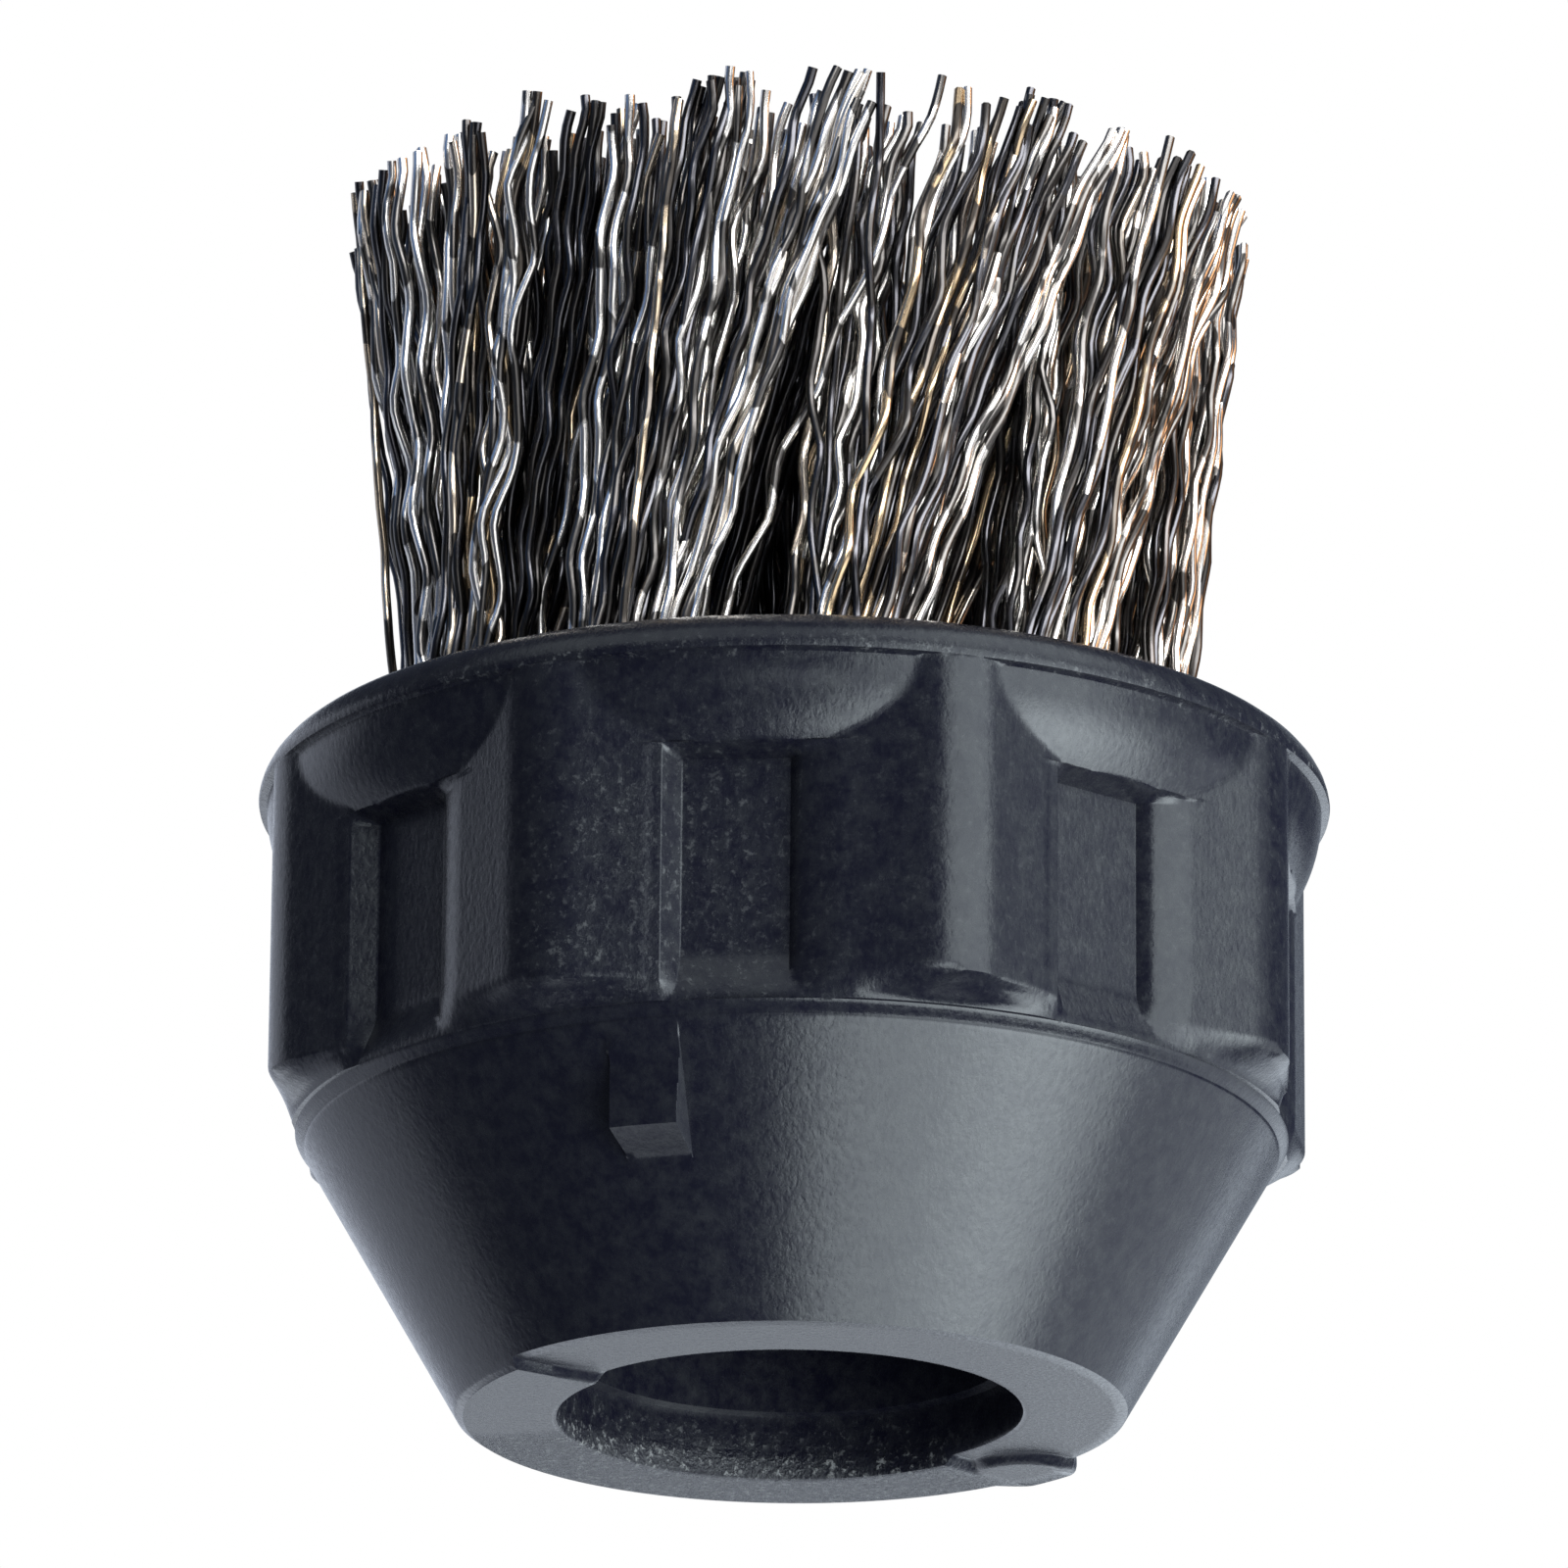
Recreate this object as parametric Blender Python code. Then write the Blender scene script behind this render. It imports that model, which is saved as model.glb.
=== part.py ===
"""Wire brush head: a moulded plastic hub with stapled tufts of crimped metal wire.

The hub stands on the ring face of its socket, bristles up (+Z).  The origin is on
the axis, in the plane of that ring face.  Azimuths are measured from the front
(-Y) towards +X.  All lengths are in metres.
"""
import math

import bmesh
import bpy
from mathutils import Matrix, Vector

MM = 0.001

# --- driving dimensions ---------------------------------------------------------
RIM_RADIUS = 15.0 * MM            # widest level of the rounded rim
RIM_ROUND = 1.24 * MM             # radius of the rounded lip
RIM_WIDEST_Z = 17.5 * MM
TOP_FACE_Z = RIM_WIDEST_Z + RIM_ROUND
OVERALL_HEIGHT = 35.4 * MM        # to the tips of the wires

RING_RADIUS = 9.15 * MM           # outer edge of the flat ring face
STEP_HEIGHT = 0.25 * MM           # one half of the ring face stands proud by this
STEP_AZIMUTHS = (120.0, 304.0)    # the proud half runs from the first to the second

SOCKET_ENTRY_RADIUS = 6.4 * MM
SOCKET_ENTRY_DEPTH = 1.8 * MM
SOCKET_RADIUS = 6.0 * MM
SOCKET_DEPTH = 12.4 * MM

CONE_TOP_RADIUS = 13.75 * MM
CONE_TOP_Z = 8.0 * MM
NECK_RADIUS = 13.45 * MM
NECK_Z = 8.2 * MM

LUG_COUNT = 8
GROOVE_AZIMUTH = -5.0             # centre of one finger groove
LUG_FACE = 13.68 * MM             # axis to the planes of the grip's faces
LUG_FACE_TURN = 4.0               # degrees by which the two halves of a flat turn to each other
LUG_CORNER_ROUND = 2.4 * MM
LUG_BOTTOM_Z = 8.9 * MM
GROOVE_FLOOR_RADIUS = 13.2 * MM
GROOVE_HALF_WIDTH = 1.45 * MM     # at the floor
GROOVE_EDGE_WIDTH = 1.25 * MM     # rounded edge on each side
GROOVE_TOP_Z = 15.2 * MM          # where the rounded shoulder under the rim begins
SHOULDER_TOP_Z = 17.45 * MM
SHOULDER_RADIUS = 14.0 * MM       # of the shoulder at its lower edge
SHOULDER_HALF_WIDTH = 4.65 * MM   # half the width of the arc it makes on each flat

INDEX_AZIMUTH = -18.0             # small plain index block on the cone
INDEX_WIDTH = 2.1 * MM
INDEX_FACE_RADIUS = 13.2 * MM
INDEX_BOTTOM_Z = 4.6 * MM
INDEX_TOP_Z = 7.6 * MM
INDEX_ROOT_RADIUS = 10.6 * MM     # inside the cone

HOLE_RADIUS = 2.2 * MM
HOLE_BOTTOM_Z = 14.3 * MM
TUFT_RINGS = (                    # count, radius of the ring, azimuth of the first
    (1, 0.0, 0.0),
    (5, 4.7 * MM, 25.0),
    (10, 9.32 * MM, 7.0),
)
CLEARANCE = 0.3 * MM
TUFT_TOP_RADIUS = 2.4 * MM
TUFT_SPLAY = 1.10                 # how far the tips spread, against the roots
TUFT_SIDES = 12
ANCHOR_LENGTH = 3.7 * MM
ANCHOR_THICKNESS = 0.45 * MM
ANCHOR_HEIGHT = 1.6 * MM
ANCHOR_LIFT = 1.2 * MM            # folded wire under the anchor

ROOF_RING = 3.0 * MM              # extra rings that keep the faces of the roof and the
TOP_RING = 12.3 * MM              # top from being long slivers


# --- materials ------------------------------------------------------------------
def principled(name, colour, roughness, metallic):
    """A plain Principled material."""
    material = bpy.data.materials.new(name)
    material.use_nodes = True
    shader = material.node_tree.nodes["Principled BSDF"]
    shader.inputs["Base Color"].default_value = (*colour, 1.0)
    shader.inputs["Roughness"].default_value = roughness
    shader.inputs["Metallic"].default_value = metallic
    material.diffuse_color = (*colour, 1.0)
    return material


# --- helpers --------------------------------------------------------------------
def add_object(name, bm, material, smooth_angle=None):
    """Turn a bmesh into a named object of one material."""
    mesh = bpy.data.meshes.new(name)
    bmesh.ops.recalc_face_normals(bm, faces=bm.faces)
    bm.to_mesh(mesh)
    bm.free()
    mesh.materials.append(material)
    if smooth_angle is not None:
        mesh.shade_smooth()
        mesh.set_sharp_from_angle(angle=math.radians(smooth_angle))
    piece = bpy.data.objects.new(name, mesh)
    bpy.context.scene.collection.objects.link(piece)
    return piece


def add_cutter(name, bm):
    """A closed body that only cuts another one."""
    mesh = bpy.data.meshes.new(name)
    bmesh.ops.recalc_face_normals(bm, faces=bm.faces)
    bm.to_mesh(mesh)
    bm.free()
    cutter = bpy.data.objects.new(name, mesh)
    bpy.context.scene.collection.objects.link(cutter)
    cutter.display_type = "WIRE"
    cutter.hide_render = True
    return cutter


def cut(piece, cutter, operation="DIFFERENCE"):
    """Boolean one object with another."""
    modifier = piece.modifiers.new(cutter.name, "BOOLEAN")
    modifier.operation = operation
    modifier.object = cutter
    modifier.solver = "EXACT"


def at_azimuth(azimuth, radius, z):
    """The point at an azimuth in degrees from the front, towards +X."""
    angle = math.radians(azimuth)
    return Vector((radius * math.sin(angle), -radius * math.cos(angle), z))


def closed_grid(bm, rings, first_centre=None, last_centre=None):
    """Skin a list of equal closed rings of points; ends close on a centre point."""
    rows = [[bm.verts.new(point) for point in ring] for ring in rings]
    count = len(rows[0])
    for lower, upper in zip(rows, rows[1:]):
        for i in range(count):
            j = (i + 1) % count
            bm.faces.new((lower[i], lower[j], upper[j], upper[i]))
    for row, centre in ((rows[0], first_centre), (rows[-1], last_centre)):
        if centre is None:
            continue
        hub = bm.verts.new(centre)
        for i in range(count):
            bm.faces.new((row[i], row[(i + 1) % count], hub))


def disc_points(centre, radius, sides):
    """A ring of points around a centre, in the XY plane."""
    points = []
    for i in range(sides):
        angle = 2.0 * math.pi * i / sides
        points.append(centre + Vector((radius * math.cos(angle), radius * math.sin(angle), 0.0)))
    return points


# --- the eight-sided grip -------------------------------------------------------
def flat_radius(offset):
    """Radius of the rounded octagon, an offset in degrees from the middle of a flat."""
    turn = math.radians(LUG_FACE_TURN)
    half = math.radians(180.0 / LUG_COUNT)
    offset = math.radians(abs(offset))
    away = half - offset
    # the corner is an arc that the two neighbouring faces touch
    centre = (LUG_FACE - LUG_CORNER_ROUND) / math.cos(half + turn)
    across = LUG_CORNER_ROUND * math.sin(half + turn)
    touch = math.atan2(across, centre + LUG_CORNER_ROUND * math.cos(half + turn))
    if away > touch:
        return LUG_FACE / math.cos(offset + turn)
    return centre * math.cos(away) + math.sqrt(LUG_CORNER_ROUND ** 2 - (centre * math.sin(away)) ** 2)


def grip_radius(offset):
    """The octagon with its finger groove: a floor with a rounded edge on each side."""
    flat = flat_radius(offset)
    across = abs(GROOVE_FLOOR_RADIUS * math.tan(math.radians(offset)))
    rise = (across - GROOVE_HALF_WIDTH) / GROOVE_EDGE_WIDTH
    if rise >= 1.0:
        return flat
    if rise <= 0.0:
        return GROOVE_FLOOR_RADIUS
    return GROOVE_FLOOR_RADIUS + (flat - GROOVE_FLOOR_RADIUS) * math.sin(rise * math.pi / 2.0)


def shoulder_radius(z):
    """The rounded shoulder under the rim, which meets the flats in a half ellipse."""
    share = (SHOULDER_TOP_Z - z) / (SHOULDER_TOP_Z - GROOVE_TOP_Z)
    half_width = SHOULDER_HALF_WIDTH * math.sqrt(max(1.0 - share ** 2, 0.0))
    return math.hypot(SHOULDER_RADIUS, half_width)


def grid_offsets():
    """Offsets from the middle of a flat at which the grip is sampled, in degrees."""
    across = [GROOVE_HALF_WIDTH + GROOVE_EDGE_WIDTH * share for share in (0.0, 0.3, 0.65, 1.0)]
    inner = [math.degrees(math.atan(value / GROOVE_FLOOR_RADIUS)) for value in across]
    face_and_corner = [15.0, 18.35, 20.4]
    half = inner + face_and_corner
    return [-value for value in reversed(half)] + [0.0] + half + [180.0 / LUG_COUNT]


def azimuths():
    """Every azimuth of the hub's grid with its offset from the middle of its flat."""
    pitch = 360.0 / LUG_COUNT
    samples = []
    for k in range(LUG_COUNT):
        for offset in grid_offsets():
            samples.append(((GROOVE_AZIMUTH + pitch * k + offset) % 360.0, offset))
    for step in STEP_AZIMUTHS:
        for side in (-0.3, 0.3):
            azimuth = step + side
            offset = (azimuth - GROOVE_AZIMUTH + pitch / 2.0) % pitch - pitch / 2.0
            samples.append((azimuth % 360.0, offset))
    return sorted(samples)


def ring_face_z(azimuth):
    """One half of the ring face stands proud of the other."""
    proud = STEP_AZIMUTHS[0] < azimuth < STEP_AZIMUTHS[1]
    return 0.0 if proud else STEP_HEIGHT


# --- pieces ---------------------------------------------------------------------
def hub_rings():
    """Rings of the hub from the roof of the socket, out round the rim to the top face."""
    grid = azimuths()

    def ring(radius, z):
        return [at_azimuth(azimuth, radius, z) for azimuth, _ in grid]

    rings = [ring(ROOF_RING, SOCKET_DEPTH), ring(SOCKET_RADIUS, SOCKET_DEPTH)]
    rings.append(ring(SOCKET_RADIUS, SOCKET_ENTRY_DEPTH))
    rings.append(ring(SOCKET_ENTRY_RADIUS, SOCKET_ENTRY_DEPTH))
    for radius in (SOCKET_ENTRY_RADIUS, RING_RADIUS):
        rings.append([at_azimuth(azimuth, radius, ring_face_z(azimuth)) for azimuth, _ in grid])
    rings.append(ring(CONE_TOP_RADIUS, CONE_TOP_Z))
    rings.append(ring(NECK_RADIUS, NECK_Z))
    for z in (LUG_BOTTOM_Z, GROOVE_TOP_Z - 0.2 * MM):
        rings.append([at_azimuth(azimuth, grip_radius(offset), z) for azimuth, offset in grid])
    for share in (0.0, 0.1, 0.28, 0.55, 1.0):
        z = GROOVE_TOP_Z + (SHOULDER_TOP_Z - GROOVE_TOP_Z) * share
        radius = shoulder_radius(z)
        rings.append([at_azimuth(azimuth, max(flat_radius(offset), radius), z) for azimuth, offset in grid])
    lip_centre = RIM_RADIUS - RIM_ROUND
    for angle in (0.0, 25.0, 50.0, 72.0, 90.0):
        turn = math.radians(angle)
        radius = lip_centre + RIM_ROUND * math.cos(turn)
        rings.append(ring(radius, RIM_WIDEST_Z + RIM_ROUND * math.sin(turn)))
    rings.append(ring(TOP_RING, TOP_FACE_Z))
    return rings


def index_block():
    """The small plain block on the cone, as a body that joins the hub."""
    bm = bmesh.new()
    half = INDEX_WIDTH / 2.0
    outline = (
        (INDEX_ROOT_RADIUS, INDEX_BOTTOM_Z - 0.2 * MM),
        (INDEX_FACE_RADIUS, INDEX_BOTTOM_Z + 0.2 * MM),
        (INDEX_FACE_RADIUS, INDEX_TOP_Z),
        (INDEX_ROOT_RADIUS, INDEX_TOP_Z),
    )
    sides = []
    for side in (-half, half):
        sides.append([bm.verts.new((side, -radius, z)) for radius, z in outline])
    bm.faces.new(sides[0])
    bm.faces.new(list(reversed(sides[1])))
    for i in range(len(outline)):
        j = (i + 1) % len(outline)
        bm.faces.new((sides[0][i], sides[1][i], sides[1][j], sides[0][j]))
    bmesh.ops.rotate(bm, cent=(0, 0, 0), matrix=Matrix.Rotation(math.radians(INDEX_AZIMUTH), 3, "Z"),
                     verts=bm.verts)
    return add_cutter("index_block_guide", bm)


def tuft_places():
    """Root centre of each tuft, ring by ring, with the azimuth of its anchor."""
    places = []
    for count, radius, first in TUFT_RINGS:
        for i in range(count):
            azimuth = first + 360.0 * i / count
            places.append((at_azimuth(azimuth, radius, 0.0), azimuth))
    return places


def hole_cutters(places):
    """The blind holes that the tufts are set into."""
    bm = bmesh.new()
    for root, _ in places:
        floor = root + Vector((0.0, 0.0, HOLE_BOTTOM_Z))
        mouth = root + Vector((0.0, 0.0, TOP_FACE_Z + 1.0 * MM))
        rings = [disc_points(floor, HOLE_RADIUS, TUFT_SIDES), disc_points(mouth, HOLE_RADIUS, TUFT_SIDES)]
        closed_grid(bm, rings, floor, mouth)
    return add_cutter("tuft_hole_cutter", bm)


def hub_body(places, plastic):
    """The moulded hub: socket, cone, eight-sided grip, rim and tuft holes in one piece."""
    bm = bmesh.new()
    closed_grid(bm, hub_rings(), Vector((0.0, 0.0, SOCKET_DEPTH)), Vector((0.0, 0.0, TOP_FACE_Z)))
    hub = add_object("hub_body", bm, plastic, smooth_angle=25.0)
    cut(hub, index_block(), "UNION")
    cut(hub, hole_cutters(places))
    return hub


def wire_tuft(name, root, azimuth, metal):
    """One bundle of wires: a plug in its hole that spreads towards the tips."""
    grip = HOLE_RADIUS - CLEARANCE
    foot = HOLE_BOTTOM_Z + CLEARANCE
    levels = ((foot, grip, 1.0), (TOP_FACE_Z, grip, 1.0), (OVERALL_HEIGHT, TUFT_TOP_RADIUS, TUFT_SPLAY))
    rings = []
    for z, radius, splay in levels:
        centre = Vector((root.x * splay, root.y * splay, z))
        rings.append(disc_points(centre, radius, TUFT_SIDES))
    bm = bmesh.new()
    tip = Vector((root.x * TUFT_SPLAY, root.y * TUFT_SPLAY, OVERALL_HEIGHT))
    closed_grid(bm, rings, Vector((root.x, root.y, foot)), tip)
    tuft = add_object(name, bm, metal, smooth_angle=40.0)
    cut(tuft, anchor_window(name + "_window", root, azimuth))
    return tuft


def box_body(size, centre, azimuth):
    """A box turned about Z, as a bmesh."""
    bm = bmesh.new()
    bmesh.ops.create_cube(bm, size=1.0)
    turn = Matrix.Rotation(math.radians(azimuth), 4, "Z")
    placed = Matrix.Translation(centre) @ turn @ Matrix.Diagonal((*size, 1.0))
    bmesh.ops.transform(bm, matrix=placed, verts=bm.verts)
    return bm


def anchor_centre(root):
    """Middle of the anchor, above the fold of the wires."""
    return Vector((root.x, root.y, HOLE_BOTTOM_Z + CLEARANCE + ANCHOR_LIFT + ANCHOR_HEIGHT / 2.0))


def anchor_window(name, root, azimuth):
    """The gap in the bundle that the anchor sits in, open at both sides."""
    size = (2.2 * HOLE_RADIUS, ANCHOR_THICKNESS + 2.0 * CLEARANCE, ANCHOR_HEIGHT + 2.0 * CLEARANCE)
    return add_cutter(name, box_body(size, anchor_centre(root), azimuth))


def tuft_anchor(name, root, azimuth, steel):
    """The flat metal strip that holds a tuft down in its hole."""
    size = (ANCHOR_LENGTH, ANCHOR_THICKNESS, ANCHOR_HEIGHT)
    return add_object(name, box_body(size, anchor_centre(root), azimuth), steel)


def main():
    for old in list(bpy.data.objects):
        bpy.data.objects.remove(old, do_unlink=True)
    plastic = principled("hub_plastic", (0.022, 0.023, 0.026), 0.5, 0.0)
    wire = principled("crimped_wire", (0.42, 0.40, 0.37), 0.3, 1.0)
    anchor = principled("anchor_metal", (0.55, 0.55, 0.56), 0.35, 1.0)
    places = tuft_places()
    hub_body(places, plastic)
    for number, (root, azimuth) in enumerate(places, start=1):
        wire_tuft(f"wire_tuft_{number:02d}", root, azimuth, wire)
        tuft_anchor(f"tuft_anchor_{number:02d}", root, azimuth, anchor)


main()
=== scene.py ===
"""Looks of the wire brush head: a black moulded hub and its bundles of crimped wire.

Lengths are in metres, in the part's own frame.  Azimuths start at the front (-Y) and
grow towards +X.
"""
import math

import bmesh
import bpy
import numpy as np
from mathutils import Matrix, Vector


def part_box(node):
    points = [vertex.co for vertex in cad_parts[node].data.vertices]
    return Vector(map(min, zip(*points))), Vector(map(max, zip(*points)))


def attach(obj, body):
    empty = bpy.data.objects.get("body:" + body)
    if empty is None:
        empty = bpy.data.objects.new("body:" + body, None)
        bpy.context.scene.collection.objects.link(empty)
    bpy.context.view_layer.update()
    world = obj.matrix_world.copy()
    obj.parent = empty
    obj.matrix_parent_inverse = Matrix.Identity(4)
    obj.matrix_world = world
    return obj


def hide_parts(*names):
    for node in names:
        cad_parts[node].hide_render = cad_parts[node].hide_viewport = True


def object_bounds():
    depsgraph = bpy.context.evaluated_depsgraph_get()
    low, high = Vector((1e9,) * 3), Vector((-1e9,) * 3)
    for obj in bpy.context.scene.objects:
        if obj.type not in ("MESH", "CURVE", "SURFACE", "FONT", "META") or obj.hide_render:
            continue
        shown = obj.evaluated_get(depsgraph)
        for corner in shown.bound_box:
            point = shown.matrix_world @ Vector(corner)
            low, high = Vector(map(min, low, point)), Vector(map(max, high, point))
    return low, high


MM = 0.001

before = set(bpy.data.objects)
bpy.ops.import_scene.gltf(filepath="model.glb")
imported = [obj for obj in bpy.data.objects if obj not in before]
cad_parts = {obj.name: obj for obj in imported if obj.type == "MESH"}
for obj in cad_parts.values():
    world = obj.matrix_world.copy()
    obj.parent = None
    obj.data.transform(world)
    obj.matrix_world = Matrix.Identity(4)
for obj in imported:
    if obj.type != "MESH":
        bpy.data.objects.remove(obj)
cad_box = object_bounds()

# --- sizes read from the frame ------------------------------------------------------
hub_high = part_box("hub_body")[1]
RIM_RADIUS = hub_high.x
TOP_FACE_Z = hub_high.z
TIP_Z = cad_box[1].z
TUFTS = sorted(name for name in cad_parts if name.startswith("wire_tuft_"))

# --- ring face and socket -----------------------------------------------------------
RING_RADIUS = 9.15 * MM
RING_EDGE_ROUND = 0.14 * MM
RING_EDGE_HEIGHT = 0.16 * MM
STEP_HEIGHT = 0.25 * MM
STEP_LEFT = math.radians(305.0)
STEP_RIGHT = math.radians(137.0)
STEP_LEFT_RAMP, STEP_LEFT_SPREAD = 0.28 * MM, 0.3 * MM
STEP_RIGHT_RAMP = 0.4 * MM
STEP_START = 0.2
PAD_X, PAD_Y = 6.57 * MM, 5.7 * MM
PAD_RADIUS = 1.2 * MM
PAD_RAMP = 0.42 * MM
PAD_PROUD = 0.75 * MM
SOCKET_ENTRY_RADIUS = 6.4 * MM
SOCKET_ENTRY_DEPTH = 1.8 * MM
SOCKET_RADIUS = 6.0 * MM
SOCKET_DEPTH = 12.4 * MM

# --- nose and its index block -------------------------------------------------------
CONE_TOP_RADIUS = 13.75 * MM
CONE_TOP_Z = 8.0 * MM
SEAM_GROOVE_Z, SEAM_GROOVE_WIDTH = 7.70 * MM, 0.06 * MM
SEAM_BEAD_Z, SEAM_BEAD_WIDTH = 7.95 * MM, 0.10 * MM
SEAM_DEPTH = 0.05 * MM
INDEX_AZIMUTH = math.radians(-17.8)
INDEX_RADIUS = 12.8 * MM
INDEX_HALF_WIDTH = 1.02 * MM
INDEX_FACE = 13.12 * MM
INDEX_FOOT_Z = 4.3 * MM
INDEX_BEND_Z, INDEX_LEAN = 6.6 * MM, 0.35
INDEX_SIDE_SLOPE, INDEX_FOOT_SLOPE = 12.0, 2.4

# --- grip ---------------------------------------------------------------------------
LUG_COUNT = 8
GROOVE_AZIMUTH = -5.0
LUG_FACE = 13.68 * MM
LUG_FACE_TURN = math.radians(4.0)
LUG_CORNER_ROUND = 2.4 * MM
LUG_FOOT_Z = 8.05 * MM
LUG_FOOT_ROUND_LEFT, LUG_FOOT_ROUND_RIGHT = 0.45 * MM, 1.1 * MM
WALL_LEFT, WALL_RIGHT, WALL_FOOT = 0.37 * MM, 1.45 * MM, 0.85 * MM
GROOVE_FLOOR_RADIUS = 13.2 * MM
GROOVE_FLOOR_LIMIT = 0.2
GROOVE_LEFT, GROOVE_RIGHT = 1.9 * MM, 1.05 * MM
GROOVE_TOP_Z = 15.2 * MM
FLARE, FLARE_TOP_Z, FLARE_HEIGHT = 0.45 * MM, 9.6 * MM, 1.6 * MM
LEDGE_HEIGHT = 0.3 * MM
SHOULDER_TOP_Z = 17.45 * MM
SHOULDER_RADIUS = 14.0 * MM
SHOULDER_HALF_WIDTH = 4.65 * MM

# --- rim ----------------------------------------------------------------------------
RIM_ROUND = 1.24 * MM
RIM_WIDEST_Z = TOP_FACE_Z - RIM_ROUND
RIM_UNDER_Z = 17.5 * MM

# --- grid of the hub: rows in millimetres, columns in degrees ------------------------
ROOF_RADII = (1.5, 3.5, 5.0, 5.7)
SOCKET_LEVELS = (9.0, 6.0, 4.0, 2.6, 2.1)
ENTRY_LEVELS = (1.72, 1.2, 0.8)
RING_ROWS = 22
NOSE_LIFTS = (0.04, 0.1, 0.16, 0.3, 0.45, 0.6, 0.8)
# lowest and highest level, and the number of levels between them
SIDE_LEVELS = (
    (1.1, 4.1, 6), (4.25, 4.9, 8), (5.4, 6.4, 3), (6.6, 7.5, 5), (7.58, 7.99, 9),
    (8.0, 9.4, 18), (9.6, 10.4, 4), (11.5, 14.0, 3), (14.25, 15.18, 14),
    (15.21, 16.2, 14), (16.28, 17.44, 12),
)
RIM_ANGLES = (6.0, 13.0, 22.0, 34.0, 46.0, 58.0, 70.0, 80.0, 90.0)
TOP_RADII = (13.2, 12.6, 11.9, 10.5, 8.0, 5.0, 2.0)
HALF_FLAT = 22.5
EVEN_COLUMNS = 60
LEFT_WALL = (-9.8, -8.0)
LEFT_WALL_COLUMNS = 13
INDEX_COLUMNS = (-22.37, -21.92, -13.68, -13.23)


# --- small helpers ------------------------------------------------------------------
def smooth(value):
    """Smoothstep of an array or number, clamped to 0..1."""
    value = np.clip(value, 0.0, 1.0)
    return value * value * (3.0 - 2.0 * value)


def mesh_object(name, points, quads, smooth_faces=True):
    """A mesh object from an array of points and an array of quads."""
    mesh = bpy.data.meshes.new(name)
    mesh.vertices.add(len(points))
    mesh.vertices.foreach_set("co", points.astype(np.float32).ravel())
    mesh.loops.add(quads.size)
    mesh.loops.foreach_set("vertex_index", quads.astype(np.int32).ravel())
    mesh.polygons.add(len(quads))
    starts = np.arange(0, quads.size, quads.shape[1], dtype=np.int32)
    mesh.polygons.foreach_set("loop_start", starts)
    mesh.update(calc_edges=True)
    mesh.validate()
    if smooth_faces:
        mesh.shade_smooth()
    piece = bpy.data.objects.new(name, mesh)
    bpy.context.scene.collection.objects.link(piece)
    return piece


def store(piece, name, values):
    """Keep one value for each point of a mesh, for its material to read."""
    layer = piece.data.attributes.new(name, "FLOAT", "POINT")
    layer.data.foreach_set("value", values.astype(np.float32))


# --- shape of the hub ---------------------------------------------------------------
def flat_radius(offset):
    """Radius of the rounded octagon at an offset in radians from the middle of a flat."""
    half = math.pi / LUG_COUNT
    steep = half + LUG_FACE_TURN
    centre = (LUG_FACE - LUG_CORNER_ROUND) / math.cos(steep)
    beside = LUG_CORNER_ROUND * math.sin(steep)
    beyond = centre + LUG_CORNER_ROUND * math.cos(steep)
    touch = math.atan2(beside, beyond)
    away = half - np.abs(offset)
    inside = np.maximum(LUG_CORNER_ROUND ** 2 - (centre * np.sin(away)) ** 2, 0.0)
    arc = centre * np.cos(away) + np.sqrt(inside)
    face = LUG_FACE / np.cos(np.abs(offset) + LUG_FACE_TURN)
    return np.where(away > touch, face, arc)


def core_radius(offset, z):
    """The hub between its lugs: flare at the nose, groove floor and shoulder under the rim."""
    flare = FLARE * smooth((FLARE_TOP_Z - z) / FLARE_HEIGHT)
    ledge = np.clip((z - GROOVE_TOP_Z + LEDGE_HEIGHT) / LEDGE_HEIGHT, 0.0, 1.0)
    ledge = (SHOULDER_RADIUS - GROOVE_FLOOR_RADIUS) * ledge
    share = (SHOULDER_TOP_Z - z) / (SHOULDER_TOP_Z - GROOVE_TOP_Z)
    half_width = SHOULDER_HALF_WIDTH * np.sqrt(1.0 - np.clip(share, 0.0, 1.0) ** 2)
    shoulder = np.hypot(SHOULDER_RADIUS, half_width)
    limited = np.clip(offset, -GROOVE_FLOOR_LIMIT, GROOVE_FLOOR_LIMIT)
    floor_radius = GROOVE_FLOOR_RADIUS / np.cos(limited)
    return np.where(z < GROOVE_TOP_Z, floor_radius + flare + ledge, shoulder)


def lug_rise(offset, z):
    """0 off the lugs and 1 on their faces, with sloping walls and rounded feet."""
    on_left = offset < 0.0
    corner = np.where(on_left, LUG_FOOT_ROUND_LEFT, LUG_FOOT_ROUND_RIGHT)
    wall_width = np.where(on_left, WALL_LEFT, WALL_RIGHT)
    across = GROOVE_FLOOR_RADIUS * np.tan(np.abs(offset))
    side = np.where(on_left, GROOVE_LEFT, GROOVE_RIGHT) - across + corner
    foot = LUG_FOOT_Z - z + corner
    outside = np.hypot(np.maximum(side, 0.0), np.maximum(foot, 0.0))
    distance = outside + np.minimum(np.maximum(side, foot), 0.0) - corner
    turn = np.arctan2(np.maximum(foot, 1e-9), np.maximum(side, 1e-9)) / (math.pi / 2.0)
    width = wall_width + (WALL_FOOT - wall_width) * turn
    share = np.clip(-distance / width, 0.0, 1.0)
    wall = np.where(on_left, share, np.sqrt(1.0 - (1.0 - share) ** 2))
    slope = np.sin(share * math.pi / 2.0)
    return wall + (slope - wall) * turn


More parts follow.
